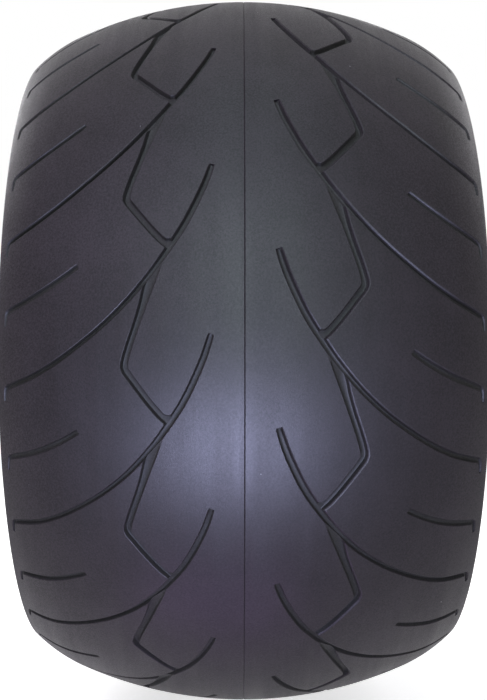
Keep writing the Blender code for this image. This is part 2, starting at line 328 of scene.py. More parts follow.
# what all the rubbers share
rubberSet = {
    'broadNoise': (4.0, 0.6),      # detail and roughness
    'mottleNoise': (5.0, 0.8),
    'grainNoise': (2.0, 0.6),
    'streakNoise': (3.0, 0.6),
    'broadShare': 0.2,             # of the colour, and the rest is the fine mottle
    'toneRange': (0.41, 0.59),     # from the dark to the light colour
    'glossShare': 0.5,             # of the mottle, and the rest is the streaks
    'glossRange': (0.3, 0.7),
    'speckEdge': (0.042, 0.058),   # rim of a dust speck, in shares of a cell
    'speckBreak': 0.06,            # how far the grain breaks up that rim
    'streakHeight': 0.0010,
    'grainHeight': 0.0003,
}


def rubberLook(name, s):
    look, nodes, links, shader, place = startMaterial(name)
    spot = place.outputs["Object"]
    broad = addNoise(nodes, links, spot, s['broadScale'], *rubberSet['broadNoise'])
    mottle = addNoise(nodes, links, spot, s['mottleScale'], *rubberSet['mottleNoise'])
    grain = addNoise(nodes, links, spot, s['grainScale'], *rubberSet['grainNoise'])
    stretched = addStretch(nodes, links, spot, s['streakScale'])
    streak = addNoise(nodes, links, stretched, 1.0, *rubberSet['streakNoise'])
    tone = addBlend(nodes, links, broad, mottle, rubberSet['broadShare'])
    colour = addTones(nodes, links, tone, rubberSet['toneRange'], s)
    if s.get('dust'):
        cells = nodes.new("ShaderNodeTexVoronoi")
        cells.inputs["Scale"].default_value = s['dustScale']
        links.new(spot, cells.inputs["Vector"])
        uneven = addMath(nodes, links, 'ADD', cells.outputs["Distance"],
                         addMath(nodes, links, 'MULTIPLY', grain, rubberSet['speckBreak']))
        near = addRange(nodes, links, uneven, *rubberSet['speckEdge'], 1.0, 0.0)
        pick = nodes.new("ShaderNodeSeparateColor")
        links.new(cells.outputs["Color"], pick.inputs[0])
        chosen = addMath(nodes, links, 'GREATER_THAN', pick.outputs[0], 1.0 - s['dust'])
        speck = addMath(nodes, links, 'MULTIPLY', near, chosen)
        colour = addMix(nodes, links, speck, colour, s['dustColour'])
    links.new(colour, shader.inputs["Base Color"])
    # the lighter mottle and the streaks are the smoother places
    gloss = addBlend(nodes, links, mottle, streak, rubberSet['glossShare'])
    smooth, dull = s['roughness']
    rough = addRange(nodes, links, gloss, *rubberSet['glossRange'], dull, smooth)
    links.new(rough, shader.inputs["Roughness"])
    shader.inputs["Specular IOR Level"].default_value = s['specular']
    lumps = addBump(nodes, links, streak, s['streakBump'], rubberSet['streakHeight'])
    surface = addBump(nodes, links, grain, s['grainBump'], rubberSet['grainHeight'], lumps)
    links.new(surface, shader.inputs["Normal"])
    return look


# tread cap: the band, the mould's parting line, then the grooves
treadSet = {
    'crownCuts': 23,
    'shoulderCuts': 14,
    'insideCuts': 6,
    'edgeRound': 0.0015,
    'edgeRoundCuts': 4,
    'edgeStop': 1.2,               # degrees before the edge, where its rounding takes over
    'edgeAim': 0.004,              # and this far down the buttress it has ended
    'buttressCuts': (0.0035, 0.0065),
    'footRise': 0.0010,            # soft step at the foot of the buttress
    'footSink': 0.0004,
    'partingHalf': 0.00050,
    'partingDepth': 0.00050,
    'partingEase': 0.00004,        # how far its edges lie below the crown
    'partingSpread': 2.2,          # half widths until the crown is full
    'smoothAngle': 24,
    'look': {
        'dark': (0.0122, 0.0093, 0.0120), 'light': (0.0458, 0.0368, 0.0458),
        'broadScale': 22.0, 'mottleScale': 650.0, 'grainScale': 1900.0, 'streakScale': (4.0, 80.0, 4.0),
        'roughness': (0.40, 0.59), 'specular': 0.165,
        'grainBump': 0.40, 'streakBump': 0.06,
        'dust': 0.40, 'dustScale': 46.0, 'dustColour': (0.45, 0.45, 0.49),
    },
    # groove walls and floors: a lighter copy of the tread rubber, painted light that lifts the shade inside
    # the grooves
    'groovePaintedLightLook': {
        'dark': (0.0320, 0.0311, 0.0307), 'light': (0.0600, 0.0585, 0.0574),
        'broadScale': 60.0, 'mottleScale': 700.0, 'grainScale': 2300.0, 'streakScale': (20.0, 120.0, 20.0),
        'roughness': (0.52, 0.66), 'specular': 0.12,
        'grainBump': 0.20, 'streakBump': 0.05,
    },
}

roadEdge = roadPoint(section['edgeAngle'], 0.0)
guard = Vector((
    flangeY + section['guardReach'],
    section['rimRadius'] + section['flangeHeight'] + section['guardRise'],
))
capEnd = chordPoint(capReach, layers['cap'])


def sidePoint(distance, proud=0.0):
    down = guard - roadEdge
    share = distance / down.length
    out = Vector((-down.y, down.x)).normalized()
    return roadEdge + down * share + out * (section['sideBulge'] * 4 * share * (1 - share) + proud)


def treadOutline(s):
    centre = roadPoint(0.0, s['partingDepth'])
    lip = math.degrees(s['partingHalf'] / section['crownRadius'])
    half = [centre, roadPoint(lip, s['partingEase']), roadPoint(lip * s['partingSpread'], 0.0)]
    for i in range(1, s['crownCuts'] + 1):
        half.append(roadPoint(crownAngle * i / s['crownCuts'], 0.0))
    stop = section['edgeAngle'] - s['edgeStop']
    for i in range(1, s['shoulderCuts'] + 1):
        half.append(roadPoint(crownAngle + (stop - crownAngle) * i / s['shoulderCuts'], 0.0))
    half += roundedCorner(half[-1], roadEdge, sidePoint(s['edgeAim']), s['edgeRound'], s['edgeRoundCuts'])
    half += [sidePoint(d) for d in s['buttressCuts']]
    half += [sidePoint(section['buttress'] - s['footRise']), sidePoint(section['buttress'], -s['footSink'])]
    cuts = s['insideCuts']
    inside = [roadPoint(crownAngle * i / cuts, layers['cap']) for i in range(cuts + 1)]
    inside += [chordPoint(crownAngle + (capReach - crownAngle) * 0.5, layers['cap']), capEnd]
    return closedBand(half, inside)


tread = turnedRing("treadCap", treadOutline(treadSet))
treadRubber = rubberLook("treadRubber", treadSet['look'])
# the second rubber is the lighter one for the grooves, painted light on their walls and floors
groovePaintedLightRubber = rubberLook("groovePaintedLightRubber", treadSet['groovePaintedLightLook'])
for look in (treadRubber, groovePaintedLightRubber):
    tread.data.materials.append(look)
print("tread band turned:", len(tread.data.polygons), "faces")

# each row: mm across from the centre line, degrees round after the tip, width in mm
grooveSet = {
    'pitches': 16,
    'rightTip': -12.9,
    'leftTip': -24.6,
    'innerLip': 0.0008,     # rounding where a groove's walls meet the road surface
    'outerLip': {1.0: 0.0021, -1.0: 0.0009},     # softer on the right-hand half
    'lipTurns': (26, 46, 64, 80),     # degrees round the lip
    'lift': 0.0006,
    'wallLean': 0.0004,
    'footRound': 0.0010,
    'narrowFoot': 0.55,     # most of the half width that the foot and the lean may take
    'narrowLean': 0.30,
    'footBend': (0.32, 0.30),
    'leastFloor': 0.0001,
    # these floor and wall faces take the lighter groove rubber, painted light in the grooves
    'floorFaces': 4,        # faces on each side of the middle that are floor and wall
    'spacing': 6.5,         # mm along a curve
    'mmPerDegree': 5.6,     # round the tread, for even steps along a curve
    'mergeGap': 0.0000001,
    'main': {
        'depth': 0.0039,
        'startRise': (0.62, 0.004),     # share of the depth at the end, and metres until it is full
        'stopRise': (0.30, 0.020),
        'rows': (
            (24.4, 0.0, 3.0), (24.9, 0.25, 3.8), (29.5, 2.7, 4.4), (38.5, 6.3, 4.7), (47.0, 9.1, 4.8),
            (55.3, 11.25, 4.7), (61.5, 12.82, 4.4), (68.0, 14.32, 4.1), (76.0, 15.98, 3.8), (86.3, 18.0, 3.6),
            (98.0, 19.97, 3.4), (110.0, 21.8, 3.4), (123.0, 23.55, 3.4), (136.0, 25.2, 3.5),
            (150.0, 26.8, 3.7), (166.0, 28.35, 3.9), (180.0, 29.4, 4.0), (188.0, 29.98, 3.8),
            (191.1, 30.22, 3.4), (192.4, 30.42, 3.0), (193.0, 30.75, 2.6), (193.5, 31.5, 2.0),
            (193.9, 32.4, 1.2),
        ),
    },
    'short': {
        'depth': 0.0032,
        'startRise': (0.62, 0.004),
        'stopRise': (0.30, 0.020),
        'rows': (
            (126.5, 13.1, 2.8), (127.6, 13.23, 3.4), (136.0, 14.2, 3.9), (147.5, 15.4, 4.2),
            (160.0, 16.55, 4.3), (174.0, 17.6, 4.2), (184.6, 18.3, 4.0), (188.6, 18.58, 3.6),
            (190.4, 18.76, 3.2), (191.5, 18.95, 2.8), (192.1, 19.25, 2.4), (192.5, 20.0, 1.9),
            (192.9, 20.9, 1.2),
        ),
    },
    'branch': {
        'depth': 0.0044,
        'startRise': (0.16, 0.032),     # leaves the main groove as a shallow shelf
        'stopRise': (0.86, 0.014),
        'rows': (
            (60.8, 12.66, 1.6), (65.1, 14.05, 5.7), (71.1, 16.4, 7.6), (75.0, 18.6, 6.0), (80.0, 21.2, 5.1),
            (85.0, 23.7, 5.1), (87.7, 25.2, 5.2), (89.1, 26.2, 5.4), (89.25, 26.73, 5.4), (88.2, 27.22, 5.4),
            (84.5, 28.05, 5.2), (77.0, 29.75, 5.1), (68.5, 31.57, 5.0), (62.5, 32.7, 5.1), (60.5, 33.0, 5.3),
            (59.2, 33.15, 5.7), (58.2, 33.23, 6.5), (57.2, 33.28, 7.6), (54.7, 33.6, 8.2),
        ),
    },
}


def onTread(across, turnDegrees, side):
    if across <= crownArc:
        angle = math.degrees(across / section['crownRadius'])
    else:
        angle = crownAngle + math.degrees((across - crownArc) / section['shoulderRadius'])
    spot = roadPoint(angle, 0.0)
    out = outOf(angle)
    turn = math.radians(turnDegrees)
    radial = Vector((math.cos(turn), 0.0, -math.sin(turn)))
    axle = Vector((0.0, side, 0.0))
    return axle * spot.x + radial * spot.y, axle * out.x + radial * out.y


def smoothLine(rows, s):
    # a curve through the rows, cut into short even steps
    tiny = 1e-6
    perDegree = s['mmPerDegree']
    points = [Vector((across, turn * perDegree, width)) for across, turn, width in rows]
    line = []
    for i in range(len(points) - 1):
        p0 = points[max(i - 1, 0)]
        p1, p2 = points[i], points[i + 1]
        p3 = points[min(i + 2, len(points) - 1)]
        gap01 = max((p1 - p0).xy.length, tiny) ** 0.5
        gap12 = max((p2 - p1).xy.length, tiny) ** 0.5
        gap23 = max((p3 - p2).xy.length, tiny) ** 0.5
        lead = p2 - p1
        if i > 0:
            lead = ((p1 - p0) / gap01 - (p2 - p0) / (gap01 + gap12) + (p2 - p1) / gap12) * gap12
        trail = p2 - p1
        if i + 2 < len(points):
            trail = ((p2 - p1) / gap12 - (p3 - p1) / (gap12 + gap23) + (p3 - p2) / gap23) * gap12
        cuts = max(1, round((p2 - p1).xy.length / s['spacing']))
        for j in range(cuts):
            t = j / cuts
            spot = (p1 * (2 * t ** 3 - 3 * t ** 2 + 1) + lead * (t ** 3 - 2 * t ** 2 + t)
                    + p2 * (3 * t ** 2 - 2 * t ** 3) + trail * (t ** 3 - t ** 2))
            line.append(spot)
    line.append(points[-1])
    return [(p.x / 1000, p.y / perDegree, p.z / 1000) for p in line]


def grooveProfile(width, depth, lip, s):
    # half of the cut, from above the surface down to the floor: (aside, below)
    half = width / 2
    rim = []
    for turn in s['lipTurns']:
        a = math.radians(turn)
        rim.append((half + lip * (1 - math.sin(a)), lip * (1 - math.cos(a))))
    aside, below = rim[0]
    slope = math.tan(math.radians(s['lipTurns'][0]))
    top = (aside + (below + s['lift']) / slope, -s['lift'])
    foot = min(s['footRound'], half * s['narrowFoot'])
    lean = min(s['wallLean'], half * s['narrowLean'])
    bendIn, bendUp = s['footBend']
    wall = (half - lean, depth - foot)
    bend = (half - lean - foot * bendIn, depth - foot * bendUp)
    floor = (max(half - lean - foot, s['leastFloor']), depth)
    return [top] + rim + [wall, bend, floor]


def endRise(distance, share, run):
    return share + (1 - share) * min(distance / run, 1.0)


def grooveCutter(kind, side, tip):
    s = grooveSet[kind]
    line = smoothLine(s['rows'], grooveSet)
    spots = [onTread(across, tip + turn, side) for across, turn, width in line]
    walked = [0.0]
    for a, b in zip(spots, spots[1:]):
        walked.append(walked[-1] + (b[0] - a[0]).length)
    loops = []
    for i, (point, out) in enumerate(spots):
        ahead = spots[min(i + 1, len(spots) - 1)][0]
        behind = spots[max(i - 1, 0)][0]
        travel = (ahead - behind).normalized()
        across = out.cross(travel).normalized()
        deep = s['depth'] * endRise(walked[i], *s['startRise'])
        deep *= endRise(walked[-1] - walked[i], *s['stopRise'])
        outer = grooveProfile(line[i][2], deep, grooveSet['outerLip'][side], grooveSet)
        inner = grooveProfile(line[i][2], deep, grooveSet['innerLip'], grooveSet)
        loop = [point + across * side * a - out * b for a, b in outer]
        loop += [point - across * side * a - out * b for a, b in reversed(inner)]
        loops.append(loop)
    ring = len(loops[0])
    bpy.ops.object.select_all(action='DESELECT')
    bpy.ops.mesh.primitive_grid_add(x_subdivisions=ring, y_subdivisions=len(loops) - 1, size=0.1)
    cutter = bpy.context.object
    cutter.name = kind + "Cutter"
    for look in (treadRubber, groovePaintedLightRubber):
        cutter.data.materials.append(look)
    for index, vertex in enumerate(cutter.data.vertices):
        vertex.co = loops[index // (ring + 1)][index % (ring + 1) % ring]
    for index, face in enumerate(cutter.data.polygons):
        aside = abs(index % ring - (ring // 2 - 1))
        # floor and wall faces get the lighter groove rubber, painted light in the grooves; the lips keep the
        # tread rubber
        face.material_index = int(aside < grooveSet['floorFaces'])     # not the rounded lips
    bpy.ops.object.mode_set(mode='EDIT')
    bpy.ops.mesh.select_all(action='SELECT')
    bpy.ops.mesh.remove_doubles(threshold=grooveSet['mergeGap'])
    bpy.ops.mesh.fill_holes(sides=0)
    bpy.ops.mesh.select_all(action='SELECT')
    bpy.ops.mesh.normals_make_consistent(inside=False)
    bpy.ops.object.mode_set(mode='OBJECT')
    return cutter


def allRound(kinds, name):
    # one groove of each kind and side, copied round the tyre and joined
    pieces = []
    for kind in kinds:
        for side, tip in ((1.0, grooveSet['rightTip']), (-1.0, grooveSet['leftTip'])):
            first = grooveCutter(kind, side, tip)
            pieces.append(first)
            for step in range(1, grooveSet['pitches']):
                copy = first.copy()
                copy.data = first.data.copy()
                copy.data.transform(Matrix.Rotation(2 * math.pi * step / grooveSet['pitches'], 4, 'Y'))
                scene.collection.objects.link(copy)
                pieces.append(copy)
    bpy.ops.object.select_all(action='DESELECT')
    for piece in pieces:
        piece.select_set(True)
    bpy.context.view_layer.objects.active = pieces[0]
    bpy.ops.object.join()
    pieces[0].name = name
    return pieces[0]


for kinds, name in ((("main", "short"), "mainAndShortCut"), (("branch",), "branchCut")):
    cutter = allRound(kinds, name)
    cut = tread.modifiers.new(name, 'BOOLEAN')
    cut.operation = 'DIFFERENCE'
    cut.solver = 'MANIFOLD'
    cut.object = cutter
    bpy.ops.object.select_all(action='DESELECT')
    tread.select_set(True)
    bpy.context.view_layer.objects.active = tread
    bpy.ops.object.modifier_apply(modifier=cut.name)
    bpy.data.objects.remove(cutter, do_unlink=True)
    print(name, "cut:", len(tread.data.polygons), "faces")
settle(tread, "tread_cap", None, treadSet['smoothAngle'])


# cords, cloth and wire under the rubber: a pattern that follows the axle
cordSet = {
    'grainNoise': (3.0, 0.6),
    'ridgeShare': 0.22,
    'toneRange': (0.25, 0.75),
    'glossRange': (0.3, 0.7),
    'ridgeHeight': 0.0004,
    'grainBump': 0.15,
    'grainHeight': 0.0003,
}


def cordLook(name, s):
    look, nodes, links, shader, place = startMaterial(name)
    across, outward, turn = axlePlace(nodes, links, place)
    spot = place.outputs["Object"]
    lines = addMath(nodes, links, 'ADD', addMath(nodes, links, 'MULTIPLY', across, s['acrossWaves']),
                    addMath(nodes, links, 'MULTIPLY', turn, s['roundWaves']))
    lines = addMath(nodes, links, 'ADD', lines, addMath(nodes, links, 'MULTIPLY', outward, s['outWaves']))
    ridge = addMath(nodes, links, 'SINE', lines)
    grain = addNoise(nodes, links, spot, s['grainScale'], *cordSet['grainNoise'])
    shown = addMath(nodes, links, 'MULTIPLY', ridge, cordSet['ridgeShare'])
    tone = addMath(nodes, links, 'ADD', shown, grain)
    colour = addTones(nodes, links, tone, cordSet['toneRange'], s)
    links.new(colour, shader.inputs["Base Color"])
    rough = addRange(nodes, links, grain, *cordSet['glossRange'], *s['roughness'])
    links.new(rough, shader.inputs["Roughness"])
    shader.inputs["Metallic"].default_value = s['metallic']
    rows = addBump(nodes, links, ridge, s['ridgeBump'], cordSet['ridgeHeight'])
    surface = addBump(nodes, links, grain, cordSet['grainBump'], cordSet['grainHeight'], rows)
    links.new(surface, shader.inputs["Normal"])
    return look


# woven print left in the rubber: two sets of threads that cross
clothSet = {
    'broadScale': 45.0,
    'broadNoise': (4.0, 0.6),
    'grainScale': 900.0,
    'grainNoise': (2.0, 0.5),
    'weaveShare': 0.12,
    'toneRange': (0.3, 0.7),
    'specular': 0.4,
    'weaveHeight': 0.0003,
    'grainBump': 0.2,
    'grainHeight': 0.0002,
}


def clothLook(name, s):
    look, nodes, links, shader, place = startMaterial(name)
    across, outward, turn = axlePlace(nodes, links, place)
    spot = place.outputs["Object"]
    rise = addMath(nodes, links, 'ADD', across, outward)
    warp = addMath(nodes, links, 'SINE', addMath(nodes, links, 'MULTIPLY', turn, s['roundThreads']))
    weft = addMath(nodes, links, 'SINE', addMath(nodes, links, 'MULTIPLY', rise, s['acrossThreads']))
    weave = addMath(nodes, links, 'MULTIPLY', warp, weft)
    broad = addNoise(nodes, links, spot, clothSet['broadScale'], *clothSet['broadNoise'])
    grain = addNoise(nodes, links, spot, clothSet['grainScale'], *clothSet['grainNoise'])
    shown = addMath(nodes, links, 'MULTIPLY', weave, clothSet['weaveShare'])
    tone = addMath(nodes, links, 'ADD', shown, broad)
    colour = addTones(nodes, links, tone, clothSet['toneRange'], s)
    links.new(colour, shader.inputs["Base Color"])
    rough = addRange(nodes, links, broad, *clothSet['toneRange'], *s['roughness'])
    links.new(rough, shader.inputs["Roughness"])
    shader.inputs["Specular IOR Level"].default_value = clothSet['specular']
    threads = addBump(nodes, links, weave, s['weaveBump'], clothSet['weaveHeight'])
    surface = addBump(nodes, links, grain, clothSet['grainBump'], clothSet['grainHeight'], threads)
    links.new(surface, shader.inputs["Normal"])
    return look


def linerLook(name, s):
    # thin airtight rubber with the print of the curing bladder's vent lines
    look, nodes, links, shader, place = startMaterial(name)
    across, outward, turn = axlePlace(nodes, links, place)
    spot = place.outputs["Object"]
    slant = addMath(nodes, links, 'ADD', addMath(nodes, links, 'MULTIPLY', turn, s['ventCount']),
                    addMath(nodes, links, 'MULTIPLY', across, s['ventSlant']))
    vents = addRange(nodes, links, addMath(nodes, links, 'COSINE', slant), *s['ventEdge'], 0.0, 1.0)
    broad = addNoise(nodes, links, spot, s['broadScale'], *s['broadNoise'])
    grain = addNoise(nodes, links, spot, s['grainScale'], *s['grainNoise'])
    tone = addBlend(nodes, links, broad, grain, s['broadShare'])
    colour = addTones(nodes, links, tone, s['toneRange'], s)
    printed = addMath(nodes, links, 'MULTIPLY', vents, s['ventShare'])
    links.new(addMix(nodes, links, printed, colour, s['ventColour']), shader.inputs["Base Color"])
    rough = addRange(nodes, links, broad, *s['toneRange'], *s['roughness'])
    links.new(rough, shader.inputs["Roughness"])
    shader.inputs["Specular IOR Level"].default_value = s['specular']
    raised = addBump(nodes, links, vents, s['ventBump'], s['ventHeight'])
    surface = addBump(nodes, links, grain, s['grainBump'], s['grainHeight'], raised)
    links.new(surface, shader.inputs["Normal"])
    return look


# what the rubbers under the tread share, and the two belts
hiddenRubber = {
    'mottleScale': 700.0, 'grainScale': 1500.0, 'specular': 0.4, 'grainBump': 0.20, 'streakBump': 0.05,
}
beltSteel = {
    'dark': (0.260, 0.210, 0.130), 'light': (0.480, 0.410, 0.290), 'roughness': (0.30, 0.45),
    'metallic': 0.9, 'roundWaves': 1500.0, 'outWaves': 0.0, 'grainScale': 400.0, 'ridgeBump': 0.7,
}

# bands under the tread: the base is the widest, the outer belt the narrowest
bandSet = {
    'crownCuts': 8,
    'shoulderCuts': 4,
    'baseLook': {
        **hiddenRubber, 'dark': (0.0260, 0.0240, 0.0230), 'light': (0.0420, 0.0390, 0.0370),
        'broadScale': 30.0, 'streakScale': (10.0, 90.0, 10.0), 'roughness': (0.60, 0.75),
    },
    'overlayLook': {
        'dark': (0.300, 0.250, 0.170), 'light': (0.520, 0.460, 0.340),
        'roughness': (0.70, 0.85), 'metallic': 0.0,
        'acrossWaves': 5200.0, 'roundWaves': 0.0, 'outWaves': 0.0, 'grainScale': 300.0, 'ridgeBump': 0.6,
    },
    # the cords of the two belts cross
    'outerBeltLook': {**beltSteel, 'acrossWaves': 2000.0},
    'innerBeltLook': {**beltSteel, 'acrossWaves': -2000.0},
}


def bandLine(reach, depth):
    cuts = bandSet['crownCuts']
    line = [roadPoint(crownAngle * i / cuts, depth) for i in range(cuts + 1)]
    cuts = bandSet['shoulderCuts']
    return line + [roadPoint(crownAngle + (reach - crownAngle) * i / cuts, depth) for i in range(1, cuts + 1)]


def bandOutline(reach, top, thickness):
    return closedBand(bandLine(reach, top), bandLine(reach, top + thickness))


base = turnedRing("treadBase", bandOutline(baseReach, baseTop, layers['base']))
settle(base, "tread_base", rubberLook("baseRubber", bandSet['baseLook']))
overlay = turnedRing("overlayPly", bandOutline(overlayReach, overlayTop, layers['overlay']))
settle(overlay, "overlay_ply", cordLook("overlayCord", bandSet['overlayLook']))
outerBelt = turnedRing("beltOuter", bandOutline(outerBeltReach, outerBeltTop, layers['belt']))
settle(outerBelt, "belt_outer", cordLook("outerBeltSteel", bandSet['outerBeltLook']))
innerBelt = turnedRing("beltInner", bandOutline(innerBeltReach, innerBeltTop, layers['belt']))
settle(innerBelt, "belt_inner", cordLook("innerBeltSteel", bandSet['innerBeltLook']))
print("bands under the tread turned")


# carcass ply from bead to bead: stations of (point, direction) along its middle line
beadSet = {
    'coreRadius': 0.0038,
    'wrapThickness': 0.0006,
    'apexLength': 0.0165,
    'linerStop': 0.006,
    'turnCuts': 10,
    'wrapCuts': 10,
    'downCuts': (0.35, 0.7, 1.0),
    'upCuts': (0.5, 1.0),
    'coreRound': 0.0006,
    'coreRoundCuts': 3,
    'cushionShare': 0.375,     # of the ply's turn, where the cushion's tip lies
    'cushionCuts': 5,
    'plyLook': {
        'dark': (0.280, 0.220, 0.140), 'light': (0.480, 0.400, 0.280),
        'roughness': (0.70, 0.85), 'metallic': 0.0,
        'acrossWaves': 0.0, 'roundWaves': 1400.0, 'outWaves': 0.0, 'grainScale': 300.0, 'ridgeBump': 0.6,
    },
    'linerLook': {
        'dark': (0.0150, 0.0150, 0.0165), 'light': (0.0300, 0.0300, 0.0320), 'roughness': (0.34, 0.52),
        'broadScale': 18.0, 'broadNoise': (4.0, 0.6), 'grainScale': 700.0, 'grainNoise': (2.0, 0.6),
        'broadShare': 0.75, 'toneRange': (0.3, 0.7), 'specular': 0.5,
        'ventCount': 120.0, 'ventSlant': 260.0, 'ventEdge': (0.955, 0.985), 'ventShare': 0.5,
        'ventColour': (0.0420, 0.0420, 0.0440), 'ventBump': 0.5, 'ventHeight': 0.0004,
        'grainBump': 0.2, 'grainHeight': 0.0003,
    },
    'coreLook': {
        'dark': (0.330, 0.230, 0.110), 'light': (0.620, 0.500, 0.300),
        'roughness': (0.25, 0.40), 'metallic': 1.0,
        'acrossWaves': 4200.0, 'roundWaves': 0.0, 'outWaves': 4200.0, 'grainScale': 500.0, 'ridgeBump': 0.8,
    },
    'wrapLook': {
        'dark': (0.260, 0.220, 0.160), 'light': (0.430, 0.380, 0.290), 'roughness': (0.75, 0.90),
        'roundThreads': 1100.0, 'acrossThreads': 5200.0, 'weaveBump': 0.8,
    },
    'fillerLook': {
        **hiddenRubber, 'dark': (0.0240, 0.0220, 0.0200), 'light': (0.0380, 0.0350, 0.0320),
        'broadScale': 40.0, 'streakScale': (20.0, 20.0, 20.0), 'roughness': (0.55, 0.70),
    },
    'cushionLook': {
        **hiddenRubber, 'dark': (0.0300, 0.0270, 0.0240), 'light': (0.0480, 0.0440, 0.0400),
        'broadScale': 40.0, 'streakScale': (20.0, 20.0, 20.0), 'roughness': (0.60, 0.75),
    },
}

toFlat = math.cos(math.radians(30))     # from a six-sided core's centre to a flat, where a corner is 1 away
wrapRadius = (beadSet['coreRadius'] + room + beadSet['wrapThickness'] + room) / toFlat
wrapRadius += layers['ply'] / 2
coreCentre = Vector((
    flangeY - layers['chafer'] - plySide - wrapRadius,
    section['rimRadius'] + layers['chafer'] + plySide + wrapRadius,
))
lean = 90 + section['plyLean']
beadMeet = coreCentre - outOf(lean) * wrapRadius
leave = roadPoint(plyReach, plyMiddle)
clear = (beadMeet - leave).dot(outOf(lean))
turnRadius = clear / (1 - outOf(plyReach).dot(outOf(lean)))
turnCentre = leave - outOf(plyReach) * turnRadius
turnEnd = turnCentre + outOf(lean) * turnRadius
apexAim = beadMeet - along(lean) * beadSet['apexLength'] + outOf(lean) * (layers['ply'] + room)
span = apexAim - coreCentre
rise = math.degrees(math.atan2(span.x, span.y) - math.acos(-wrapRadius / span.length))
turnUp = coreCentre - outOf(rise) * wrapRadius

crownLine = [(p, crownAngle * i / bandSet['crownCuts'])
             for i, p in enumerate(bandLine(plyReach, plyMiddle)[:bandSet['crownCuts'] + 1])]
shoulderLine = []
for i in range(1, bandSet['shoulderCuts'] + 1):
    angle = crownAngle + (plyReach - crownAngle) * i / bandSet['shoulderCuts']
    shoulderLine.append((roadPoint(angle, plyMiddle), angle))
turnLine = []
for i in range(1, beadSet['turnCuts'] + 1):
    angle = plyReach + (lean - plyReach) * i / beadSet['turnCuts']
    turnLine.append((turnCentre + outOf(angle) * turnRadius, angle))
downLine = [(turnEnd.lerp(beadMeet, share), lean) for share in beadSet['downCuts']]
wrapLine = []
for i in range(1, beadSet['wrapCuts'] + 1):
    angle = lean + (rise - lean) * i / beadSet['wrapCuts']
    wrapLine.append((coreCentre - outOf(angle) * wrapRadius, angle))
upLine = [(turnUp.lerp(apexAim, share), rise) for share in beadSet['upCuts']]
plyLine = crownLine + shoulderLine + turnLine + downLine + wrapLine + upLine


def beside(line, distance):
    return [point + outOf(angle) * distance for point, angle in line]


halfPly = layers['ply'] / 2
plyOutline = closedBand(beside(plyLine, halfPly), beside(plyLine, -halfPly))
carcass = turnedRing("carcassPly", plyOutline)
settle(carcass, "carcass_ply", cordLook("plyCord", beadSet['plyLook']))

# airtight liner on the inside of the ply
linerFace = plySide + layers['liner']
linerStop = along(lean) * -beadSet['linerStop']
linerLine = crownLine + shoulderLine + turnLine + downLine[:1] + [(beadMeet + linerStop, lean)]
linerOutline = closedBand(beside(linerLine, -plySide), beside(linerLine, -linerFace))
liner = turnedRing("innerLiner", linerOutline)
settle(liner, "inner_liner", linerLook("linerRubber", beadSet['linerLook']))
print("carcass and liner turned")

# bead cores, their wraps and the fillers over them
coreCorners = [outOf(60 * i + 30) for i in range(6)]
coreOutline = []
corePoints = [coreCentre + c * beadSet['coreRadius'] for c in coreCorners]
for i, corner in enumerate(corePoints):
    before, after = corePoints[i - 1], corePoints[(i + 1) % 6]
    coreOutline += roundedCorner(before, corner, after, beadSet['coreRound'], beadSet['coreRoundCuts'])
wrapIn = beadSet['coreRadius'] + room
wrapOut = wrapIn + beadSet['wrapThickness']
wrapOutline = [coreCentre + c * wrapIn for c in coreCorners[1:5]]
wrapOutline += [coreCentre + c * wrapOut for c in reversed(coreCorners[1:5])]

innerA = beadMeet + outOf(lean) * plySide
coreTop = coreCentre.y + beadSet['coreRadius'] * toFlat
floorA = Vector((coreCentre.x, max(coreTop + room, innerA.y)))
floorB = floorA + Vector((1.0, 0.0))
innerB = innerA - along(lean)
outerA = turnUp + outOf(rise) * plySide
outerB = outerA + along(rise)
fillerOutline = [
    crossing(floorA, floorB, innerA, innerB),
    crossing(innerA, innerB, outerA, outerB),
    crossing(floorA, floorB, outerA, outerB),
]

# cushion in the corner between the belts' ends, the ply and the sidewall
baseBottom = baseTop + layers['base'] + room
cushionTipAngle = plyReach + (lean - plyReach) * beadSet['cushionShare']
cushionTip = turnCentre + outOf(cushionTipAngle) * (turnRadius + plySide)
cushionTop = roadPoint(baseReach, baseBottom)
cushionBack = []
for i in range(1, beadSet['cushionCuts'] + 1):
    angle = cushionTipAngle + (plyReach - cushionTipAngle) * i / beadSet['cushionCuts']
    cushionBack.append(turnCentre + outOf(angle) * (turnRadius + plySide))
cushionOutline = [
    roadPoint(overlayReach, baseBottom) + along(capReach) * room,
    roadPoint((overlayReach + baseReach) / 2, baseBottom) + along(capReach) * room / 2,
    cushionTop,
    cushionTip,
] + cushionBack

# chafer: woven cloth and rubber round the bead, heel, seat and toe against the rim
chaferSet = {
    'heelRound': 0.0022,
    'heelCuts': 5,
    'toeRound': 0.0011,
    'toeCuts': 4,
    'stopShare': 0.55,     # of the ply's turn-up
    'flangeCut': 0.45,
    'seatCuts': (0.35, 0.7),
    'insideCut': 0.55,
    'smoothAngle': 40,
    'look': {
        'dark': (0.0160, 0.0146, 0.0156), 'light': (0.0300, 0.0272, 0.0290), 'roughness': (0.50, 0.66),
        'roundThreads': 1250.0, 'acrossThreads': 4400.0, 'weaveBump': 0.55,
    },
}
flangeTop = Vector((flangeY, section['rimRadius'] + section['flangeHeight']))
toeY = coreCentre.x - wrapRadius - plySide - layers['chafer']
toeDrop = (flangeY - section['heel'] - toeY) * math.tan(math.radians(section['seatTaper']))
toe = Vector((toeY, section['rimRadius'] - toeDrop))
chaferStop = along(rise) * (apexAim - turnUp).length * chaferSet['stopShare']
linerEdge = linerStop + along(lean) * room
beadInside = beadMeet - outOf(lean) * linerFace
heelUp = Vector((flangeY, section['rimRadius'] + section['heel']))
heelIn = Vector((flangeY - section['heel'], section['rimRadius']))
heelCorner = Vector((flangeY, section['rimRadius']))
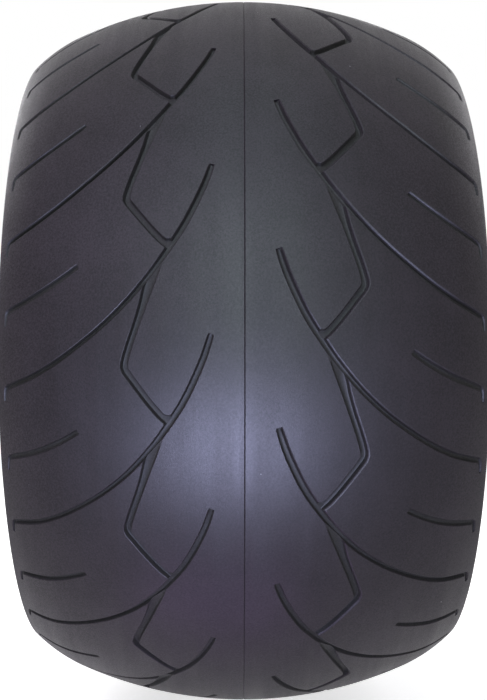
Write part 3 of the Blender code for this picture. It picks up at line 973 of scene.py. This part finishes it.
chaferOutline = [beadInside + linerEdge, beadMeet - outOf(lean) * plySide + linerEdge]
chaferOutline += beside(downLine[-1:] + wrapLine, -plySide)
chaferOutline.append(turnUp - outOf(rise) * plySide + chaferStop)
chaferOutline += [flangeTop, flangeTop.lerp(heelUp, chaferSet['flangeCut'])]
chaferOutline += roundedCorner(flangeTop, heelCorner, toe, chaferSet['heelRound'], chaferSet['heelCuts'])
chaferOutline += [heelIn.lerp(toe, share) for share in chaferSet['seatCuts']]
chaferOutline += roundedCorner(heelIn, toe, beadInside, chaferSet['toeRound'], chaferSet['toeCuts'])
chaferOutline += [toe.lerp(beadInside, chaferSet['insideCut']), beadInside]

# sidewall: mm below the tread's edge and how far it stands proud, from the buttress to the rim guard
sidewallSet = {
    'turnSteps': 864,
    'serrationBand': (0.0149, 0.0214),
    'serrationRise': 0.00075,
    'serrationTrim': (0.0008, 0.0004),     # off the band's upper end, and past its lower end
    'serrationClear': 0.006,               # outside the rim's flange
    'guardCuts': ((0.22, (-0.0002, 0.0)), (0.60, (-0.0006, 0.0006))),     # share of the way, and a shift
    'flangeLip': (0.0012, 0.0010),
    'plyCut': 0.05,
    'cushionRoom': 2,                      # degrees
    'smoothAngle': 14,
    'rows': (
        (10.30, -0.40), (10.75, -0.05), (11.4, 0.0), (11.7, 0.55), (12.05, 0.80), (12.75, 0.80), (13.1, 0.55),
        (13.4, 0.0), (14.2, 0.0), (14.5, -0.50), (14.9, -0.60), (16.2, -0.60), (18.2, -0.60), (20.2, -0.60),
        (21.4, -0.60), (21.8, -0.50), (22.1, 0.0), (23.0, 0.0), (23.3, 0.55), (23.65, 0.80), (24.35, 0.80),
        (24.7, 0.55), (25.0, 0.0), (26.4, 0.0), (27.8, 0.10), (29.0, 0.50), (30.2, 1.10), (31.4, 1.40),
        (32.5, 1.10),
    ),
    'look': {
        'dark': (0.0130, 0.0114, 0.0129), 'light': (0.0330, 0.0292, 0.0327),
        'broadScale': 26.0, 'mottleScale': 900.0, 'grainScale': 2300.0, 'streakScale': (30.0, 30.0, 30.0),
        'roughness': (0.42, 0.55), 'specular': 0.30, 'grainBump': 0.22, 'streakBump': 0.06,
        'dust': 0.05, 'dustScale': 52.0, 'dustColour': (0.40, 0.40, 0.42),
    },
}
cushionFace = (cushionTip - cushionTop).normalized()
cushionClear = Vector((-cushionFace.y, cushionFace.x)) * room
capFace = (capEnd - sidePoint(section['buttress'], -treadSet['footSink'])).normalized()
capClear = Vector((-capFace.y, capFace.x)) * room
sidewallOutline = [sidePoint(d / 1000, proud / 1000) for d, proud in sidewallSet['rows']]
for share, shift in sidewallSet['guardCuts']:
    sidewallOutline.append(guard.lerp(flangeTop, share) + Vector(shift))
sidewallOutline.append(flangeTop + Vector(sidewallSet['flangeLip']))
sidewallOutline.append(flangeTop + Vector((0.0, room)))
sidewallOutline.append(turnUp - outOf(rise) * plySide + chaferStop + along(rise) * room)
sidewallOutline.append(apexAim - outOf(rise) * plySide + along(rise) * room)
sidewallOutline.append(turnEnd.lerp(beadMeet, sidewallSet['plyCut']) + outOf(lean) * plySide)
for point, angle in reversed(turnLine):
    if angle > cushionTipAngle + sidewallSet['cushionRoom']:
        sidewallOutline.append(point + outOf(angle) * plySide)
sidewallOutline += [cushionTip + cushionClear, cushionTop + cushionClear, capEnd + capClear]


def serrate(piece, s):
    # every second step of the sunk band is pushed out into a small radial rib
    top, bottom = (sidePoint(d, -s['serrationRise']).y for d in s['serrationBand'])
    top -= s['serrationTrim'][0]
    bottom -= s['serrationTrim'][1]
    stepTurn = 2 * math.pi / s['turnSteps']
    push = s['serrationRise']
    out = Vector((-(guard - roadEdge).y, (guard - roadEdge).x)).normalized()
    for vertex in piece.data.vertices:
        radius = math.hypot(vertex.co.x, vertex.co.z)
        if not bottom < radius < top or abs(vertex.co.y) < flangeY + s['serrationClear']:
            continue
        index = round(math.atan2(vertex.co.z, vertex.co.x) / stepTurn)
        if index % 2:
            continue
        vertex.co.x += vertex.co.x / radius * out.y * push
        vertex.co.z += vertex.co.z / radius * out.y * push
        vertex.co.y += math.copysign(out.x * push, vertex.co.y)


chaferCloth = clothLook("chaferCloth", chaferSet['look'])
sideRubber = rubberLook("sidewallRubber", sidewallSet['look'])
coreWire = cordLook("beadWire", beadSet['coreLook'])
wrapCloth = clothLook("wrapCloth", beadSet['wrapLook'])
fillerRubber = rubberLook("fillerRubber", beadSet['fillerLook'])
cushionRubber = rubberLook("cushionRubber", beadSet['cushionLook'])
plainPieces = (
    ("beadCore", coreOutline, "bead_core_", "bead_steel", coreWire),
    ("beadWrap", wrapOutline, "bead_wrap_", "wrap_cloth", wrapCloth),
    ("beadFiller", fillerOutline, "bead_filler_", "filler_rubber", fillerRubber),
    ("shoulderCushion", cushionOutline, "shoulder_cushion_", "cushion_rubber", cushionRubber),
)
for side, hand, face in (("right", "Right", list), ("left", "Left", mirrored)):
    for name, outline, node, slotName, look in plainPieces:
        settle(turnedRing(name + hand, face(outline)), node + side, look)
    chafer = turnedRing("chafer" + hand, face(chaferOutline))
    settle(chafer, "chafer_" + side, chaferCloth, chaferSet['smoothAngle'])
    sidewall = turnedRing("sidewall" + hand, face(sidewallOutline), sidewallSet['turnSteps'])
    serrate(sidewall, sidewallSet)
    settle(sidewall, "sidewall_" + side, sideRubber, sidewallSet['smoothAngle'])
    print(side, "side turned:", len(sidewall.data.polygons), "faces in the sidewall")


# floor, world and lamps
stageSet = {
    'floorSize': 60.0,
    'floorColour': 0.82,
    'floorMottle': 1.02,           # the lighter patches of the floor
    'floorNoise': (3.0, 2.0, 0.5),
    'floorTones': (0.3, 0.7),
    'floorRoughness': 0.9,
    'floorSpecular': 0.1,
    'floorGlow': (0.70, 0.86),     # close to the tyre, where its shadow falls, and far off
    'glowReach': (0.6, 3.0),       # metres
    'worldFill': 0.22,
    # name, place, aim, size, power, colour
    'softboxes': (
        ("frontSoftbox", (1.15, -0.55, 0.80), (0.3, 0.0, 0.1), (0.6, 0.6), 6.8, (0.78, 0.71, 1.0)),
        ("topSoftbox", (0.2, 0.0, 1.9), (0.0, 0.0, 0.0), (1.6, 1.6), 1.0, (1.0, 0.99, 0.97)),
        ("rearSoftboxRight", (-1.2, 1.4, 0.7), (0.0, 0.0, 0.0), (0.9, 0.9), 18.0, (0.98, 0.97, 1.0)),
        ("rearSoftboxLeft", (-1.2, -1.4, 0.7), (0.0, 0.0, 0.0), (0.9, 0.9), 28.0, (0.98, 0.97, 1.0)),
    ),
    # these show only as the shine on the rubber
    'shineCards': (
        ("lowCard", (0.74, -0.03, -0.28), (0.33, 0.0, -0.085), (0.22, 0.10), 15.0, (0.60, 0.64, 1.0)),
        ("stripCard", (1.5, 0.02, 0.44), (0.3, 0.0, 0.0), (0.16, 1.5), 34.0, (0.76, 0.95, 1.0)),
        ("floorCard", (0.27, -0.04, -0.333), (0.20, -0.04, 0.0), (0.20, 0.20), 0.28, (0.66, 0.40, 1.0)),
        ("rearCard", (-1.1, 0.0, 0.30), (-0.3, 0.0, 0.0), (0.7, 0.9), 26.0, (0.95, 0.97, 1.0)),
        ("upperCard", (0.71, 0.0, 1.42), (0.27, 0.0, 0.20), (0.50, 0.90), 6.0, (0.66, 0.98, 0.97)),
    ),
}


def seenDirectly(nodes, links):
    # 1 where the camera sees the surface itself, or in a reflection or through glass
    rays = nodes.new("ShaderNodeLightPath")
    seen = addMath(nodes, links, 'MAXIMUM', rays.outputs["Is Camera Ray"], rays.outputs["Is Glossy Ray"])
    return addMath(nodes, links, 'MAXIMUM', seen, rays.outputs["Is Transmission Ray"])


bpy.ops.object.select_all(action='DESELECT')
bpy.ops.mesh.primitive_plane_add(size=stageSet['floorSize'], location=(0.0, 0.0, -section['outerRadius']))
floor = bpy.context.object
floor.name = "studioFloor"
floorLook, nodes, links, floorShader, floorPlace = startMaterial("paleFloor")
floorShader.inputs["Roughness"].default_value = stageSet['floorRoughness']
floorShader.inputs["Specular IOR Level"].default_value = stageSet['floorSpecular']
floorTone = addNoise(nodes, links, floorPlace.outputs["Object"], *stageSet['floorNoise'])
shade = stageSet['floorColour']
shades = {'dark': (shade,) * 3, 'light': (shade * stageSet['floorMottle'],) * 3}
floorColour = addTones(nodes, links, floorTone, stageSet['floorTones'], shades)
links.new(floorColour, floorShader.inputs["Base Color"])
floorShader.inputs["Emission Color"].default_value = (1.0, 1.0, 1.0, 1.0)
away = nodes.new("ShaderNodeVectorMath")
away.operation = 'LENGTH'
links.new(floorPlace.outputs["Object"], away.inputs[0])
glow = addRange(nodes, links, away.outputs["Value"], *stageSet['glowReach'], *stageSet['floorGlow'])
glow = addMath(nodes, links, 'MULTIPLY', seenDirectly(nodes, links), glow)
links.new(glow, floorShader.inputs["Emission Strength"])
floor.data.materials.append(floorLook)

world = bpy.data.worlds.new("studioWorld")
scene.world = world
world.use_nodes = True
nodes = world.node_tree.nodes
links = world.node_tree.links
sky = nodes["Background"]
sky.inputs["Color"].default_value = (1.0, 1.0, 1.0, 1.0)
strength = addRange(nodes, links, seenDirectly(nodes, links), 0.0, 1.0, stageSet['worldFill'], 1.0)
links.new(strength, sky.inputs["Strength"])


def softLamp(name, place, aim, size, power, colour):
    bpy.ops.object.light_add(type='AREA', location=place)
    lamp = bpy.context.object
    lamp.name = name
    lamp.data.shape = 'RECTANGLE'
    lamp.data.size, lamp.data.size_y = size
    lamp.data.energy = power
    lamp.data.color = colour
    lamp.visible_camera = False
    lamp.rotation_euler = (Vector(aim) - Vector(place)).to_track_quat('-Z', 'Y').to_euler()
    return lamp


for softbox in stageSet['softboxes']:
    softLamp(*softbox)
for card in stageSet['shineCards']:
    softLamp(*card).visible_diffuse = False
print("stage and lamps set")
